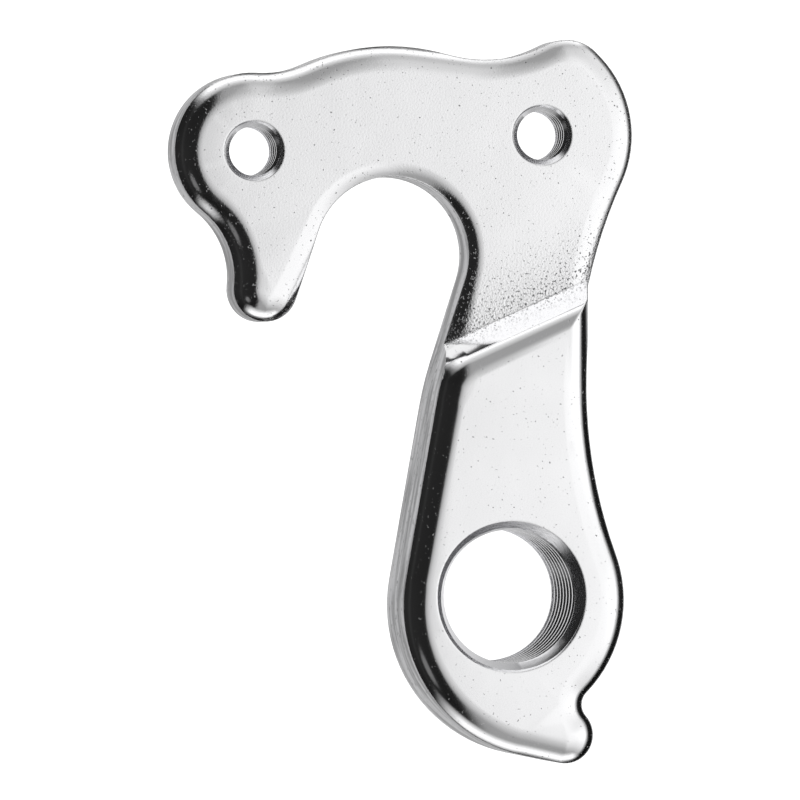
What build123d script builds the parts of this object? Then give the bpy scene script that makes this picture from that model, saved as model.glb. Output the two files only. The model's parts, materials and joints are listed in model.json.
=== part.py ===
from build123d import *
import math
import os
from typing import NamedTuple

# Bicycle derailleur hanger: one aluminium forging, trimmed round its outline and tapped.
# Millimetres. The origin is on the axis of the derailleur thread, in the plane of the seat that
# the frame's dropout lies on. X runs to the rear of the bicycle, Z up, and -Y towards the wheel.

# Thicknesses
plate_t = 4.0            # upper plate
arm_rise = 3.1           # wheel side of the arm above the seat
boss_rise = 2.2          # round boss on the outer side, about the derailleur thread

# Threaded holes at their minor diameters, and the wide ends of their countersinks
derailleur_hole_d = 9.0
derailleur_sink_d = 10.2
bolt_hole_d = 3.3
bolt_sink_d = 4.1
sink_angle = 90.0
boss_d = 13.0
boss_edge = 0.4          # bevel on the rim of the boss

# Axle slot, from the derailleur thread
slot_x = -7.57
slot_z = 23.1
slot_r = 5.3

# Frame bolts, from the centre of the axle slot
front_bolt_ahead = 9.52
front_bolt_up = 7.0
rear_bolt_behind = 10.3
rear_bolt_up = 8.15

# Upper plate
lobe_r = 5.3             # round end about the front bolt
lobe_hollow_r = 7.5      # hollow from that end to the hump
slot_roof = 8.85         # height of the hump over the slot
hump_r = 14.1
dip_r = 9.45             # dip from the hump to the rear peak
bulge_ahead = 1.25       # centre of the rear edge's bulge, ahead of the rear bolt
bulge_r = 7.6
peak_angle = 49.5        # place of the rear peak round that bulge
peak_out = 0.02
peak_r = 2.9

# Hook ahead of the slot
hook_drop = 15.2         # angle of its tip below the slot's centre
hook_gap = 1.4           # tip's clearance from the slot's round end
hook_r = 2.2
hook_hollow_r = 5.6

# Arm
waist_r = 33.0           # hollow of the rear edge
pad_x = -0.95            # rear edge beside the thread
pad_z = -0.25
pad_r = 8.87
claw_notch_r = 1.15
claw_x = 3.85            # claw that the derailleur's stop screw bears on
claw_bottom = -11.3
claw_r = 1.93
heel_ahead = 7.28
heel_up = 0.35           # heel above the bottom of the claw
heel_r = 10.3
bend_below = 8.3         # slight bend of the front edge, below where the slot ends
bend_bow = 0.6
bend_r = 22.0

# Shoulder between plate and arm
shoulder_below = 7.25    # its foot, square to it, from the centre of the slot
shoulder_slope = 24.0
shoulder_draft = 20.0    # lean of its face
shoulder_corner_r = 1.3  # its front corner, along the ridge
flat_corner_r = 1.8      # the same corner of the arm's flat face
rear_draft = 8.0         # lean of the arm's straight rear side, below the shoulder

# Edges: the die left them round, and the trim cut through the rounding
plate_edge_r = 2.2
arm_edge_r = 2.3
edge_trim = 0.42
slot_trim = 1.17         # the slot is cut deeper into it
rear_trim = 0.72         # and so is the plate's rear edge
arm_trim = 0.55
back_edge_r = 0.3
bulge_share = 0.95       # largest rounding, as a share of the bulge that it runs round

# Bodies that only cut or limit: how far they run past the part, and the angle that they leave it at
room = 60.0
splay = 10.0
same_point = 1e-3        # points of an outline nearer than this are one


class Round(NamedTuple):
    """A circle that the outline runs round: r is positive on a bulge and negative in a hollow."""
    x: float
    z: float
    r: float
    trim: float = edge_trim

    def at(self, angle):
        return (self.x + self.r * math.cos(angle), self.z + self.r * math.sin(angle))


def hollow_between(a, b, r):
    """Hollow of radius r that touches two bulges, on the left of the way from a to b."""
    span = math.dist((a.x, a.z), (b.x, b.z))
    side_a = a.r + r
    side_b = b.r + r
    along = (span**2 + side_a**2 - side_b**2) / (2 * span)
    across = math.sqrt(side_a**2 - along**2)
    turn = math.atan2(b.z - a.z, b.x - a.x) + math.atan2(across, along)
    return Round(a.x + side_a * math.cos(turn), a.z + side_a * math.sin(turn), -r)


def facing(a, b):
    """Outward direction, as an angle, of the straight edge that runs from one round to the next."""
    span = math.dist((a.x, a.z), (b.x, b.z))
    lean = math.acos(max(-1.0, min(1.0, (a.r - b.r) / span)))
    return math.atan2(b.z - a.z, b.x - a.x) + lean


def reach(this, angle):
    """How far a round reaches from the origin in a direction."""
    return this.x * math.cos(angle) + this.z * math.sin(angle) + this.r


def corner(angle_a, reach_a, angle_b, reach_b, r):
    """Bulge of radius r in the corner of two straight edges, each given by its facing and reach."""
    cross = math.sin(angle_b - angle_a)
    in_a = reach_a - r
    in_b = reach_b - r
    x = (in_a * math.sin(angle_b) - in_b * math.sin(angle_a)) / cross
    z = (in_b * math.cos(angle_a) - in_a * math.cos(angle_b)) / cross
    return Round(x, z, r)


def moved(this, angle):
    """The same round, well past the part in a direction."""
    return this._replace(x=this.x + room * math.cos(angle), z=this.z + room * math.sin(angle))


def grown(rounds, amount):
    return [this._replace(r=this.r + amount) for this in rounds]


def outline(rounds, y):
    """Face at depth y, bounded by arcs on the rounds, taken clockwise, and their common tangents."""
    leaving = [facing(a, b) for a, b in zip(rounds, rounds[1:] + rounds[:1])]
    arriving = leaving[-1:] + leaving[:-1]
    here = rounds[-1].at(leaving[-1])
    edges = []
    for this, start, end in zip(rounds, arriving, leaving):
        if math.dist(here, this.at(start)) > same_point:
            edges.append(Line(here, this.at(start)))
            here = this.at(start)
        way = -math.copysign(1.0, this.r)
        sweep = (way * (end - start)) % math.tau
        edges.append(ThreePointArc(here, this.at(start + way * sweep / 2), this.at(end)))
        here = this.at(end)
    return Plane.XZ.offset(-y) * make_face(Wire(edges))


def block(rounds, front, back, edge_r=0.0, draft=0.0):
    """Block between two depths, drafted from its front outline, with its front edge rounded.

    The rounding stays inside the tightest bulge that it runs round.
    """
    depth = back - front
    at_back = grown(rounds, depth * math.tan(math.radians(draft)))
    body = extrude(outline(at_back, back), depth, taper=draft)
    if edge_r:
        tightest = min(this.r for this in rounds if this.r > 0)
        body = fillet(body.faces().sort_by(Axis.Y)[0].edges(), min(edge_r, bulge_share * tightest))
    return body


def shoulder_outline(bend, slot, out, corner_r):
    """Rounds of a block with the arm's front corner and ridge, out past them; its other sides leave the part."""
    edge = facing(bend, slot)
    ridge = math.radians(90.0 + shoulder_slope)
    foot_reach = reach(slot, ridge) - slot.r - shoulder_below
    ridge_reach = foot_reach - (arm_rise - trim_depth) * draft_lean
    front = corner(edge, reach(bend, edge) + out, ridge, ridge_reach + out, corner_r)
    rear = moved(front, ridge - math.pi / 2)
    low_front = moved(front, edge + math.pi / 2 - math.radians(splay))
    low_rear = moved(low_front, ridge - math.pi / 2)
    return [front, rear, low_rear, low_front]


def shoulder(bend, slot):
    """Rounded top of the arm as forged, cut crisp along the ridge by the drafted face."""
    sunk = trim_depth * draft_lean
    forged = shoulder_outline(bend, slot, arm_trim, flat_corner_r + arm_edge_r)
    drafted = shoulder_outline(bend, slot, -sunk, shoulder_corner_r - sunk)
    top = block(forged, -arm_rise, plate_t / 2, arm_edge_r)
    return top & block(drafted, -arm_rise, plate_t / 2, draft=shoulder_draft)


def arm_outline(rounds):
    """The arm's own rounds: above the bend and the waist, its sides run on straight until they meet."""
    bend = rounds["bend"]
    edge = facing(bend, rounds["slot"])
    top = corner(edge, reach(bend, edge), 0.0, reach(rounds["waist"], 0.0), peak_r)
    return [top] + [rounds[name] for name in ("waist", "pad", "claw_notch", "claw", "heel", "bend")]


def rear_side(waist, pad):
    """Block that leans back from the arm's rear side; its other sides run past the part."""
    lean = math.radians(rear_draft)
    high_rear = Round(reach(waist, 0.0) - pad.r, waist.z + room, pad.r)
    low_rear = moved(pad, -math.pi / 2 - math.radians(splay))
    front = outline([high_rear, waist, pad, low_rear], -arm_rise)
    depth = arm_rise + plate_t / 2
    return extrude(front, depth / math.cos(lean), dir=(math.sin(lean), math.cos(lean), 0))


def forging():
    """Plate, arm and shoulder inside the trimmed outline."""
    rounds = part_rounds()
    trimmed = list(rounds.values())
    as_forged = [this._replace(r=this.r + this.trim) for this in trimmed]
    plate = block(as_forged, 0.0, plate_t + room, plate_edge_r)
    arm = block(grown(arm_outline(rounds), arm_trim), -arm_rise, plate_t / 2, arm_edge_r)
    arm = arm & shoulder(rounds["bend"], rounds["slot"]) & rear_side(rounds["waist"], rounds["pad"])
    trim = block(trimmed, -arm_rise - room, plate_t)
    trim = fillet(trim.faces().sort_by(Axis.Y)[-1].edges(), back_edge_r)
    return trim & (plate + arm)


def turned(*profile):
    """Body turned about the Y axis from a closed profile of radius and depth."""
    return revolve(make_face(Polyline(*profile, close=True)), Axis.Y)


def boss():
    rim_r = boss_d / 2
    back = plate_t + boss_rise
    return turned(
        (0, plate_t / 2), (rim_r, plate_t / 2),
        (rim_r, back - boss_edge), (rim_r - boss_edge, back), (0, back),
    )


def through_hole(x, z, hole_d, sink_d, front, back):
    """Cutter of a hole between two depths, countersunk at both."""
    hole_r = hole_d / 2
    rim_r = sink_d / 2
    sink = (rim_r - hole_r) / math.tan(math.radians(sink_angle / 2))
    return Pos(x, 0, z) * turned(
        (0, front - room), (rim_r, front - room), (rim_r, front), (hole_r, front + sink),
        (hole_r, back - sink), (rim_r, back), (rim_r, back + room), (0, back + room),
    )


def part_rounds():
    """The trimmed outline of the whole hanger, clockwise from the front bolt."""
    slot = Round(slot_x, slot_z, -slot_r, slot_trim)
    lobe = Round(*front_bolt, lobe_r)
    hump = Round(slot_x, slot_z + slot_r + slot_roof - hump_r, hump_r)
    bulge = Round(rear_bolt[0] - bulge_ahead, rear_bolt[1], bulge_r, rear_trim)
    peak_way = math.radians(peak_angle)
    peak_span = bulge_r + peak_out - peak_r
    peak_x = bulge.x + peak_span * math.cos(peak_way)
    peak_z = bulge.z + peak_span * math.sin(peak_way)
    peak = Round(peak_x, peak_z, peak_r, rear_trim)
    pad = Round(pad_x, pad_z, pad_r)
    claw = Round(claw_x, claw_bottom + claw_r, claw_r)
    heel = Round(heel_r - heel_ahead, claw_bottom + heel_up + heel_r, heel_r)
    hook_way = math.radians(180.0 + hook_drop)
    hook_span = slot_r + hook_gap + hook_r
    hook = Round(slot_x + hook_span * math.cos(hook_way), slot_z + hook_span * math.sin(hook_way), hook_r)

    # The bend bows out from the straight edge that would run from heel to slot.
    edge = facing(heel, slot)
    foot_x, foot_z = slot.at(edge)
    bend_x = foot_x - bend_below * math.sin(edge) + (bend_bow - bend_r) * math.cos(edge)
    bend_z = foot_z + bend_below * math.cos(edge) + (bend_bow - bend_r) * math.sin(edge)
    bend = Round(bend_x, bend_z, bend_r)

    return {
        "lobe": lobe,
        "lobe_hollow": hollow_between(lobe, hump, lobe_hollow_r),
        "hump": hump,
        "dip": hollow_between(hump, peak, dip_r)._replace(trim=rear_trim),
        "peak": peak,
        "bulge": bulge,
        "waist": hollow_between(bulge, pad, waist_r)._replace(trim=rear_trim),
        "pad": pad,
        "claw_notch": hollow_between(pad, claw, claw_notch_r),
        "claw": claw,
        "heel": heel,
        "bend": bend,
        "slot": slot,
        "hook": hook,
        "hook_hollow": hollow_between(hook, lobe, hook_hollow_r),
    }


draft_lean = math.tan(math.radians(shoulder_draft))
trim_depth = arm_edge_r - math.sqrt(arm_edge_r**2 - (arm_edge_r - arm_trim)**2)  # where the trim meets the rounding
front_bolt = (slot_x - front_bolt_ahead, slot_z + front_bolt_up)
rear_bolt = (slot_x + rear_bolt_behind, slot_z + rear_bolt_up)

hanger = forging() + boss()
hanger -= through_hole(0, 0, derailleur_hole_d, derailleur_sink_d, -arm_rise, plate_t + boss_rise)
for bolt in (front_bolt, rear_bolt):
    hanger -= through_hole(*bolt, bolt_hole_d, bolt_sink_d, 0, plate_t)

os.makedirs("parts", exist_ok=True)
export_step(hanger, "parts/hanger.step")
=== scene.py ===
import json
import math

import bpy
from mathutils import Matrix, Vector


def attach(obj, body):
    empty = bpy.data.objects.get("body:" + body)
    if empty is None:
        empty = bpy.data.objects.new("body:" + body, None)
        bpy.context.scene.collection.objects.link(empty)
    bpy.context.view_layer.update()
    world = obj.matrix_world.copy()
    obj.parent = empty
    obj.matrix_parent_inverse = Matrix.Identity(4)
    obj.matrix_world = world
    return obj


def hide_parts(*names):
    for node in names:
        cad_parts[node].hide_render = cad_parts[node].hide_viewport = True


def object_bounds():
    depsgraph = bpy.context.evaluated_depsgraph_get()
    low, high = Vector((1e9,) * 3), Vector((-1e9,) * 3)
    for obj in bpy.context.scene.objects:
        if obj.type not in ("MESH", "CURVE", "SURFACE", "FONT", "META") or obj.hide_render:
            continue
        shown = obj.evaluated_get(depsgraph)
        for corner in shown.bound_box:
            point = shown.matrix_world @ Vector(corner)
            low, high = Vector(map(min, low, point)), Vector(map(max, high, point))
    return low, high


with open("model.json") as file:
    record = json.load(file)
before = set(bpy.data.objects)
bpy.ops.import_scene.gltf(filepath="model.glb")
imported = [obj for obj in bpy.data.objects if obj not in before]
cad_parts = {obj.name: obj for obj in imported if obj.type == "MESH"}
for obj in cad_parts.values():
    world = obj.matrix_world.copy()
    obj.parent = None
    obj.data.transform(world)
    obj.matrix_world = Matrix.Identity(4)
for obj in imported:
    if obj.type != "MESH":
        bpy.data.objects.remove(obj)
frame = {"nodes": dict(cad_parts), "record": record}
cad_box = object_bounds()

# Forged bicycle derailleur hanger, seen from the wheel's side. Lengths are metres, angles degrees.
MM = 0.001

# Camera: the photograph looks at the wheel side from a little ahead of square, level with the part
IMAGE_WIDTH = 800
PIXELS_PER_MM = 14.784           # at the seat plane
CAMERA_AZIMUTH = -10.8
CAMERA_DISTANCE = 0.7
CAMERA_TARGET = Vector((-7.08, 0.0, 13.28)) * MM
CAMERA_NEAREST = 0.01            # nothing nearer than this is seen

# Threads: pitch of each tapped hole, by the name of its mount, and the share of a turn that is cut
PITCH = {"derailleur_thread": 1.0 * MM, "front_frame_bolt": 0.7 * MM, "rear_frame_bolt": 0.7 * MM}
THREAD_DEPTH = 0.5413            # of the pitch
GROOVE_ROOT = 0.125              # width of the groove at its bottom, of the pitch
GROOVE_MOUTH = 0.875             # width where the cutter starts, inside the bore
CUTTER_OVERLAP = 0.125           # how far inside the bore it starts, of the pitch
STEPS_PER_TURN = 72

# Faces told apart: neighbours by the angle between them, and each by how far it looks along the holes
CREASE = 20.0
WALL_LEAN = 0.02                 # trimmed walls, by no more than this
FLAT = 0.98                      # flat faces, by no less than this
MERGE = 0.0005 * MM              # corners closer than this are one

# Shoulder: its face, from the ridge down to the plate, and the lean that the photograph shows
RIDGE_TILT = math.radians(24.0)
RIDGE_WAY = Vector((-math.sin(RIDGE_TILT), 0.0, math.cos(RIDGE_TILT)))   # up, square to the ridge
RIDGE_REACH = 16.1 * MM          # of the ridge, along that way
RIDGE_DEPTH = -2.29 * MM
FACE_REACH = (-2.2 * MM, 0.62 * MM)      # of the solid's face, front corner included, from the ridge
FACE_TURN = 0.06                 # it looks along the plate's edges by more than this, and walls by less
SHOULDER_LEAN = 25.5
LEAN_START = 0.8 * MM            # below the ridge, where the whole lean is reached
EDGE_WAY = Vector((0.30, 0.0, 0.954))    # the plate's edges run this way above the shoulder

# Finishes of the faces, by the place of their material on the piece
SKIN, WALL, THREAD = range(3)

# Broken edges, by the radius that the light takes them for
EDGE_BREAK = 0.20 * MM
EDGE_SAMPLES = 8

# Skin: sizes and heights of its grain, of its specks, which are pits, and of its slow waves
GRAIN_SIZE = 0.14 * MM
GRAIN_HEIGHT = 0.036 * MM
SPECK_SIZE = 0.17 * MM
SPECK_DEPTH = 0.015 * MM
WAVE_SIZE = 6.0 * MM
WAVE_HEIGHT = 0.012 * MM
WAVE_RANGE = (0.3, 0.7)          # of the noise, over which the roughness runs from one end to the other
SKIN_ROUGHNESS = (0.10, 0.15)

# Pepper on the skin: the places where it is least and where it is whole, and that least
PEPPER_ON_PLATE = (-0.4 * MM, -0.05 * MM, 0.3)                            # by depth, from the arm
PEPPER_BY_FOOT = (RIDGE_REACH + 5.5 * MM, RIDGE_REACH + 1.5 * MM, 0.45)   # from the plate's top down
PEPPER_IN_FRONT = (2.0 * MM, 0.5 * MM, 0.6)                               # by depth, from the back
GRAIN_FADE = 3.0                 # power by which the grain fades faster than the specks

# Specks: heights of the noise at which one starts and is whole, and how far a full share lowers them
SPECK_START = 0.76
SPECK_WHOLE = 0.84
SPECK_GAIN = 0.19

# Trimmed wall: streaks, long in X and Z as the outline runs, thin in Y, and larger specks
STREAK_SIZES = (5.0 * MM, 0.9 * MM, 5.0 * MM)
STREAK_HEIGHT = 0.02 * MM
STREAK_RANGE = (0.39, 0.59)      # of the noise, over which the wall runs from dark to light
WALL_SPECK_SIZE = 0.35 * MM
WALL_SPECK_SHARE = 0.75

# Thread: tears left by the tap, round the hole
TEAR_SIZES = (0.5 * MM, 0.12 * MM, 0.5 * MM)
TEAR_HEIGHT = 0.006 * MM

# Floor, below the frame of the photograph
FLOOR_DROP = 0.05
FLOOR_SIZE = 1.2


def linear(colour):
    """sRGB hex to the linear values that nodes take."""
    channels = [int(colour[i:i + 2], 16) / 255 for i in (1, 3, 5)]
    return [c / 12.92 if c <= 0.04045 else ((c + 0.055) / 1.055) ** 2.4 for c in channels] + [1.0]


def add(tree, kind, inputs=(), **settings):
    """Adds a node, with its settings, and sets or links its inputs by name or number."""
    node = tree.nodes.new(kind)
    for name, value in settings.items():
        setattr(node, name, value)
    for name, value in dict(inputs).items():
        if isinstance(value, bpy.types.NodeSocket):
            tree.links.new(value, node.inputs[name])
        else:
            node.inputs[name].default_value = value
    return node


def select_only(piece):
    bpy.ops.object.select_all(action="DESELECT")
    piece.select_set(True)
    bpy.context.view_layer.objects.active = piece


def apply_modifier(piece, kind, **settings):
    select_only(piece)
    modifier = piece.modifiers.new(kind.lower(), kind)
    for name, value in settings.items():
        setattr(modifier, name, value)
    bpy.ops.object.modifier_apply(modifier=modifier.name)


# The forging and its threads

def forging_copy():
    """The forging, on its own mesh, with the loose triangles merged."""
    bpy.ops.object.select_all(action="DESELECT")
    piece = frame["nodes"]["hanger"].copy()
    piece.data = piece.data.copy()
    piece.name = piece.data.name = "forged_hanger"
    bpy.context.scene.collection.objects.link(piece)
    select_only(piece)
    bpy.ops.object.mode_set(mode="EDIT")
    bpy.ops.mesh.select_all(action="SELECT")
    bpy.ops.mesh.customdata_custom_splitnormals_clear()
    bpy.ops.mesh.remove_doubles(threshold=MERGE)
    bpy.ops.object.mode_set(mode="OBJECT")
    return piece


def thread_cutter(mount):
    """Tap for one hole: a tapering rib wound about the hole's axis, longer than the hole at both ends."""
    pitch = PITCH[mount["name"]]
    bore_r = mount["dims"]["r_mm"] * MM
    inner_r = bore_r - CUTTER_OVERLAP * pitch
    outer_r = bore_r + THREAD_DEPTH * pitch
    front, back = cad_box[0][1] - pitch, cad_box[1][1] + pitch
    turns = math.ceil((back - front) / pitch)

    bpy.ops.object.select_all(action="DESELECT")
    bpy.ops.mesh.primitive_plane_add(size=1.0)
    cutter = bpy.context.object
    bpy.ops.object.mode_set(mode="EDIT")
    bpy.ops.transform.resize(value=(outer_r - inner_r, GROOVE_MOUTH * pitch, 1.0))
    bpy.ops.transform.translate(value=((outer_r + inner_r) / 2, 0.0, 0.0))
    bpy.ops.mesh.delete(type="ONLY_FACE")
    bpy.ops.object.mode_set(mode="OBJECT")
    for vertex in cutter.data.vertices:
        vertex.select = vertex.co.x > bore_r
    bpy.ops.object.mode_set(mode="EDIT")
    bpy.ops.transform.resize(value=(1.0, GROOVE_ROOT / GROOVE_MOUTH, 1.0))
    bpy.ops.object.mode_set(mode="OBJECT")

    apply_modifier(
        cutter, "SCREW", axis="Y", angle=math.tau, screw_offset=pitch, iterations=turns,
        steps=STEPS_PER_TURN, render_steps=STEPS_PER_TURN, use_smooth_shade=False,
    )
    bpy.ops.object.mode_set(mode="EDIT")
    bpy.ops.mesh.select_all(action="SELECT")
    bpy.ops.mesh.fill_holes(sides=0)
    bpy.ops.mesh.normals_make_consistent(inside=False)
    bpy.ops.object.mode_set(mode="OBJECT")
    cutter.location = (mount["pos_m"][0], front, mount["pos_m"][2])
    return cutter


def tap(piece, mount):
    cutter = thread_cutter(mount)
    bpy.context.view_layer.update()
    apply_modifier(piece, "BOOLEAN", operation="DIFFERENCE", solver="EXACT", object=cutter)
    bpy.data.objects.remove(cutter)


def draw_out_shoulder(piece):
    """Leans the shoulder's face back, with its foot drawn up along the plate, as the die left it."""
    lean = math.tan(math.radians(SHOULDER_LEAN))
    riser = set()
    for face in piece.data.polygons:
        past_ridge = face.center.dot(RIDGE_WAY) - RIDGE_REACH
        turned = face.normal.dot(EDGE_WAY) > FACE_TURN and face.normal.x < 0
        if turned and face.center.y > RIDGE_DEPTH and FACE_REACH[0] < past_ridge < FACE_REACH[1]:
            riser.update(face.vertices)
    for i in riser:
        vertex = piece.data.vertices[i]
        depth = min(max(vertex.co.y, RIDGE_DEPTH), 0.0) - RIDGE_DEPTH
        short = depth * lean - (vertex.co.dot(RIDGE_WAY) - RIDGE_REACH)
        share = min(depth / LEAN_START, 1.0)
        vertex.co += EDGE_WAY * (share * max(short, 0.0) / EDGE_WAY.dot(RIDGE_WAY))


def in_hole(point, mount):
    """Whether a point lies inside a hole's rim, its countersink and the thread's grooves included."""
    reach = mount["dims"]["r_mm"] * MM + PITCH[mount["name"]]
    return math.hypot(point.x - mount["pos_m"][0], point.z - mount["pos_m"][2]) < reach


def dress(piece, holes):
    """Gives each face its finish: skin, trimmed wall, or cut thread and countersink."""
    piece.data.materials.clear()
    for material in (tumbled_skin(), trimmed_wall(), cut_thread()):
        piece.data.materials.append(material)
    for face in piece.data.polygons:
        if abs(face.normal.y) < FLAT and any(in_hole(face.center, hole) for hole in holes):
            face.material_index = THREAD
        elif abs(face.normal.y) < WALL_LEAN:
            face.material_index = WALL
        else:
            face.material_index = SKIN


def forged_hanger():
    piece = forging_copy()
    holes = [mount for mount in frame["record"]["mounts"] if mount["kind"] == "threaded_hole"]
    draw_out_shoulder(piece)
    for hole in holes:
        tap(piece, hole)
    select_only(piece)
    bpy.ops.object.shade_smooth_by_angle(angle=math.radians(CREASE))
    apply_modifier(piece, "WEIGHTED_NORMAL", mode="FACE_AREA", keep_sharp=True)
    dress(piece, holes)
    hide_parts("hanger")
    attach(piece, "root")


# Materials

def metal(name, colour, roughness):
    """A bare metal's material, tree and shader, with the colour and roughness that patterns start from."""
    material = bpy.data.materials.new(name)
    material.use_nodes = True
    shader = material.node_tree.nodes["Principled BSDF"]
    shader.inputs["Metallic"].default_value = 1.0
    shader.inputs["Base Color"].default_value = linear(colour)
    shader.inputs["Roughness"].default_value = roughness
    return material, material.node_tree, shader


def lumps(tree, place, sizes, detail=2.0):
    """Noise whose lumps measure the given sizes along X, Y and Z."""
    stretched = add(tree, "ShaderNodeMapping", {"Vector": place, "Scale": [1.0 / size for size in sizes]})
    return add(
        tree, "ShaderNodeTexNoise", {"Vector": stretched.outputs[0], "Scale": 1.0, "Detail": detail},
    ).outputs["Fac"]


def specks(tree, place, size, share):
    """1 in small ragged specks and 0 between them; share runs from 0 for few to 1 for many."""
    ragged = lumps(tree, place, [size] * 3)
    raise_by = {0: share, 1: SPECK_GAIN, 2: ragged}
    raised = add(tree, "ShaderNodeMath", raise_by, operation="MULTIPLY_ADD").outputs[0]
    return add(tree, "ShaderNodeMapRange", {0: raised, 1: SPECK_START, 2: SPECK_WHOLE}).outputs[0]


def pepper(tree, place):
    """How peppery the skin is: 1 on the plate by the shoulder's foot, less above, on the arm and behind."""
    depth = add(tree, "ShaderNodeSeparateXYZ", {0: place}).outputs["Y"]
    along = {0: place, 1: RIDGE_WAY}
    up = add(tree, "ShaderNodeVectorMath", along, operation="DOT_PRODUCT").outputs["Value"]
    much = 1.0
    for measure, limits in ((depth, PEPPER_ON_PLATE), (up, PEPPER_BY_FOOT), (depth, PEPPER_IN_FRONT)):
        start, whole, least = limits
        share = add(tree, "ShaderNodeMapRange", {0: measure, 1: start, 2: whole, 3: least}).outputs[0]
        much = add(tree, "ShaderNodeMath", {0: much, 1: share}, operation="MULTIPLY").outputs[0]
    return much


def tumbled_skin():
    """Forged aluminium, tumbled bright: a satin skin that mirrors softly. The thin plate keeps a peppery
    grain from the die, thickest by the shoulder, and the arm is smoother. Grain and specks are drawn about
    two pixels of the photograph wide, which is as fine as they show."""
    bright = "#F3F3F4"
    # painted shade: the darker grey that the pits take in their colour
    painted_pit_shade = "#747476"
    material, tree, shader = metal("tumbled_forged_aluminium", bright, SKIN_ROUGHNESS[1])
    place = add(tree, "ShaderNodeTexCoord").outputs["Object"]
    much = pepper(tree, place)
    grain = lumps(tree, place, [GRAIN_SIZE] * 3, detail=3.0)
    speck = specks(tree, place, SPECK_SIZE, much)
    wave = lumps(tree, place, [WAVE_SIZE] * 3)

    limits = dict(enumerate(WAVE_RANGE + SKIN_ROUGHNESS, start=1))
    rough = add(tree, "ShaderNodeMapRange", {0: wave, **limits}).outputs[0]
    tree.links.new(rough, shader.inputs["Roughness"])
    # Specks are pits, bumped in below; their colour is darkened as well, which is painted shade in the
    # pits.
    shade = add(
        tree, "ShaderNodeMix", {"Factor": speck, 6: linear(bright), 7: linear(painted_pit_shade)}, data_type="RGBA",
    ).outputs[2]
    tree.links.new(shade, shader.inputs["Base Color"])

    edges = add(tree, "ShaderNodeBevel", {"Radius": EDGE_BREAK}, samples=EDGE_SAMPLES).outputs[0]
    waved = add(
        tree, "ShaderNodeBump", {"Height": wave, "Distance": WAVE_HEIGHT, "Normal": edges},
    ).outputs[0]
    grained_here = add(tree, "ShaderNodeMath", {0: much, 1: GRAIN_FADE}, operation="POWER").outputs[0]
    grained = add(
        tree, "ShaderNodeBump",
        {"Height": grain, "Strength": grained_here, "Distance": GRAIN_HEIGHT, "Normal": waved},
    ).outputs[0]
    pitted = add(
        tree, "ShaderNodeBump", {"Height": speck, "Distance": SPECK_DEPTH, "Normal": grained}, invert=True,
    ).outputs[0]
    tree.links.new(pitted, shader.inputs["Normal"])
    return material


def trimmed_wall():
    """Edge left by the trimming die: duller and darker than the skin, streaked along the outline."""
    material, tree, shader = metal("trimmed_aluminium_edge", "#B9B9BB", 0.36)
    place = add(tree, "ShaderNodeTexCoord").outputs["Object"]
    streak = lumps(tree, place, STREAK_SIZES, detail=4.0)
    tint = add(tree, "ShaderNodeValToRGB", {0: streak})
    for element, position, colour in zip(tint.color_ramp.elements, STREAK_RANGE, ("#747476", "#C0C0C2")):
        element.position = position
        element.color = linear(colour)
    pit = specks(tree, place, WALL_SPECK_SIZE, WALL_SPECK_SHARE)
    shade = add(
        tree, "ShaderNodeMix", {"Factor": pit, 6: tint.outputs[0], 7: linear("#5A5A5C")}, data_type="RGBA",
    ).outputs[2]
    tree.links.new(shade, shader.inputs["Base Color"])
    edges = add(tree, "ShaderNodeBevel", {"Radius": EDGE_BREAK}, samples=EDGE_SAMPLES).outputs[0]
    drawn = add(tree, "ShaderNodeBump", {"Height": streak, "Distance": STREAK_HEIGHT, "Normal": edges})
    tree.links.new(drawn.outputs[0], shader.inputs["Normal"])
    return material


def cut_thread():
    """Tapped and countersunk aluminium: bright cut flanks that throw sharp glints. The tears that a tap
    leaves are drawn coarser than they are, so that they show."""
    material, tree, shader = metal("cut_aluminium_thread", "#E4E4E6", 0.2)
    place = add(tree, "ShaderNodeTexCoord").outputs["Object"]
    torn = lumps(tree, place, TEAR_SIZES)
    bump = add(tree, "ShaderNodeBump", {"Height": torn, "Distance": TEAR_HEIGHT})
    tree.links.new(bump.outputs[0], shader.inputs["Normal"])
    return material


# Room

# Brightness as a share of white. Round the part by azimuth, where 0 is straight out from the wheel side and
# 90 the rear:
PANELS = [
    (-180, 0.02), (-113, 0.013), (-72, 0.018), (-65, 0.03), (-58, 0.018), (-10, 0.012), (-8, 0.30),
    (-4, 0.39), (0, 0.50), (5, 0.58), (8, 0.60), (10, 0.68), (12, 0.86), (15, 0.87), (25, 0.89), (40, 0.93),
    (55, 1.0), (70, 1.0), (74, 0.55), (78, 0.42), (81, 0.06), (83, 0.005), (103, 0.005), (108, 0.15),
    (114, 0.42), (126, 0.45), (145, 0.02), (180, 0.02),
]
# how much of that is left at each height above or below the part:
LEVELS = [
    (-90, 0.30), (-60, 0.30), (-50, 0.36), (-44, 0.44), (-37, 0.56), (-30, 0.70), (-23, 0.79), (-13, 0.93),
    (0, 1.0), (9, 0.89), (27, 0.70), (42, 0.64), (46, 0.60), (50, 0.55), (56, 0.52), (90, 0.45),
]
# white table and ceiling, by the angle down or up from straight ahead, and how far aside they are whole and
# where they end:
TABLE_AND_CEILING = [
    (-180, 0.0), (-92, 0.0), (-89, 0.12), (-85, 0.60), (-81, 1.0), (-68, 0.95), (-64, 0.70), (-57, 0.44),
    (-50, 0.0), (52, 0.0), (60, 0.42), (66, 0.52), (70, 0.62), (74, 0.78), (79, 1.0), (91, 1.0), (94, 0.70),
    (96, 0.20), (99, 0.0), (180, 0.0),
]
CEILING_SIDE = (0.45, 0.70)
# grey above and below the black flag, by the angle round the line of sight from the flag's side:
OVER_FLAG = [(0, 0.0), (64, 0.0), (76, 0.29), (95, 0.29), (110, 0.0), (180, 0.0)]
# which fades out where a direction points ahead by less than this:
FLAG_END = 0.1
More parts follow.
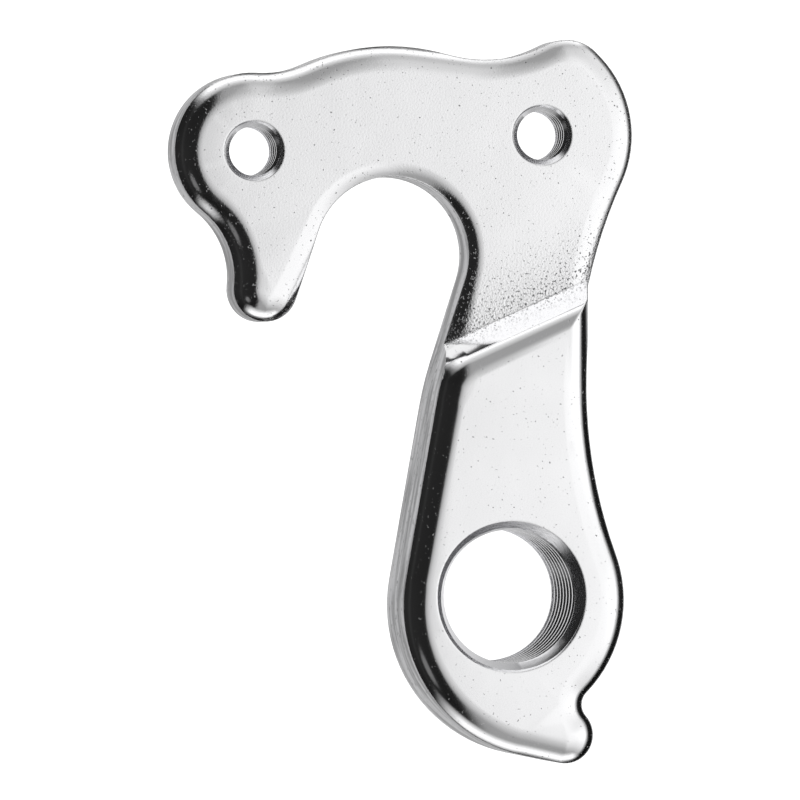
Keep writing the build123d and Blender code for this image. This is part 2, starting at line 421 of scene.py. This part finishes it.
# wall behind, greyer straight behind the part, by how far a direction points back:
BACK = [(0.0, 0.0), (0.58, 0.02), (0.64, 0.60), (0.74, 0.74), (0.95, 0.86), (0.985, 0.55), (1.0, 0.55)]
# and soft panels: a white one high up ahead, which only shows in a second reflection, as on the shoulder, a
# dim one low down, and one above the wall behind, seen in the shoulder's front end. Direction, brightness,
# the angles from that direction at which the panel ends and is whole, and the reflection it shows from:
SOFT_PANELS = [
    (Vector((-0.15, -0.66, 0.74)), 1.0, 58.0, 42.0, 2),
    (Vector((-0.64, -0.64, -0.42)), 0.15, 9.0, 5.0, 1),
    (Vector((-0.18, 0.56, 0.81)), 0.8, 15.0, 7.0, 1),
]
BRIGHTNESS = 1.25


def ramp(tree, value, start, end, stops):
    """Brightness by a measure that runs from start to end, straight between the given stops."""
    share = add(tree, "ShaderNodeMapRange", {0: value, 1: start, 2: end}).outputs[0]
    node = add(tree, "ShaderNodeValToRGB", {0: share})
    elements = node.color_ramp.elements
    elements.remove(elements[-1])
    for i, (measure, brightness) in enumerate(stops):
        position = (measure - stops[0][0]) / (stops[-1][0] - stops[0][0])
        element = elements[0] if i == 0 else elements.new(position)
        element.position = position
        element.color = (brightness, brightness, brightness, 1.0)
    return node.outputs[0]


def studio_light():
    """White room for a bright metal: soft panels, a black flag ahead, and white above, below and behind."""
    world = bpy.data.worlds.new("studio")
    bpy.context.scene.world = world
    world.use_nodes = True
    tree = world.node_tree
    whither = add(tree, "ShaderNodeTexCoord").outputs["Generated"]
    way = add(tree, "ShaderNodeSeparateXYZ", {0: whither}).outputs
    ahead = add(tree, "ShaderNodeMath", {0: way["Y"], 1: -1.0}, operation="MULTIPLY").outputs[0]
    forward = add(tree, "ShaderNodeMath", {0: way["X"], 1: -1.0}, operation="MULTIPLY").outputs[0]
    aside = add(tree, "ShaderNodeMath", {0: way["X"]}, operation="ABSOLUTE").outputs[0]
    height = add(tree, "ShaderNodeMath", {0: way["Z"]}, operation="ABSOLUTE").outputs[0]
    azimuth = add(tree, "ShaderNodeMath", {0: way["X"], 1: ahead}, operation="ARCTAN2").outputs[0]
    elevation = add(tree, "ShaderNodeMath", {0: way["Z"]}, operation="ARCSINE").outputs[0]
    climb = add(tree, "ShaderNodeMath", {0: way["Z"], 1: ahead}, operation="ARCTAN2").outputs[0]
    round_sight = add(tree, "ShaderNodeMath", {0: height, 1: forward}, operation="ARCTAN2").outputs[0]

    # each light of the room, with the share of it that shows in a direction
    panels = ramp(tree, azimuth, -math.pi, math.pi, PANELS)
    level = ramp(tree, elevation, -math.pi / 2, math.pi / 2, LEVELS)
    ceiling = ramp(tree, climb, -math.pi, math.pi, TABLE_AND_CEILING)
    over = add(tree, "ShaderNodeMapRange", {0: aside, 1: CEILING_SIDE[1], 2: CEILING_SIDE[0]}).outputs[0]
    over_flag = ramp(tree, round_sight, 0.0, math.pi, OVER_FLAG)
    in_front = add(tree, "ShaderNodeMapRange", {0: ahead, 1: 0.0, 2: FLAG_END}).outputs[0]
    lights = [(panels, level), (ceiling, over), (over_flag, in_front)]
    rays = add(tree, "ShaderNodeLightPath").outputs
    for direction, brightness, end, whole, reflections in SOFT_PANELS:
        toward = {0: whither, 1: direction.normalized()}
        near = add(tree, "ShaderNodeVectorMath", toward, operation="DOT_PRODUCT").outputs["Value"]
        limits = {0: near, 1: math.cos(math.radians(end)), 2: math.cos(math.radians(whole)), 4: brightness}
        panel = add(tree, "ShaderNodeMapRange", limits).outputs[0]
        bounces = {0: rays["Glossy Depth"], 1: reflections - 0.5}
        shows = add(tree, "ShaderNodeMath", bounces, operation="GREATER_THAN").outputs[0]
        lights.append((panel, shows))

    brightest = ramp(tree, way["Y"], 0.0, 1.0, BACK)
    for light, share in lights:
        lit = add(tree, "ShaderNodeMath", {0: light, 1: share}, operation="MULTIPLY").outputs[0]
        brightest = add(tree, "ShaderNodeMath", {0: brightest, 1: lit}, operation="MAXIMUM").outputs[0]
    seen = {0: brightest, 1: rays["Is Camera Ray"]}
    backdrop = add(tree, "ShaderNodeMath", seen, operation="MAXIMUM").outputs[0]
    background = tree.nodes["Background"]
    tree.links.new(backdrop, background.inputs["Color"])
    background.inputs["Strength"].default_value = BRIGHTNESS


def pale_floor():
    bpy.ops.object.select_all(action="DESELECT")
    bpy.ops.mesh.primitive_plane_add(size=FLOOR_SIZE, location=(0.0, 0.0, cad_box[0][2] - FLOOR_DROP))
    floor = bpy.context.object
    floor.name = "floor"
    material = bpy.data.materials.new("pale_floor")
    material.use_nodes = True
    material.node_tree.nodes["Principled BSDF"].inputs["Base Color"].default_value = linear("#F4F4F4")
    floor.data.materials.append(material)
    floor.visible_glossy = False


def camera():
    azimuth = math.radians(CAMERA_AZIMUTH)
    back = Vector((math.sin(azimuth), -math.cos(azimuth), 0.0))
    data = bpy.data.cameras.new("camera")
    data.lens = data.sensor_width * CAMERA_DISTANCE * PIXELS_PER_MM / (IMAGE_WIDTH * MM)
    data.clip_start = CAMERA_NEAREST
    seen_from = bpy.data.objects.new("camera", data)
    seen_from.location = CAMERA_TARGET + back * CAMERA_DISTANCE
    seen_from.rotation_euler = (-back).to_track_quat("-Z", "Y").to_euler()
    bpy.context.scene.collection.objects.link(seen_from)
    bpy.context.scene.camera = seen_from


forged_hanger()
pale_floor()
studio_light()
camera()
bpy.context.scene.view_settings.view_transform = "Standard"
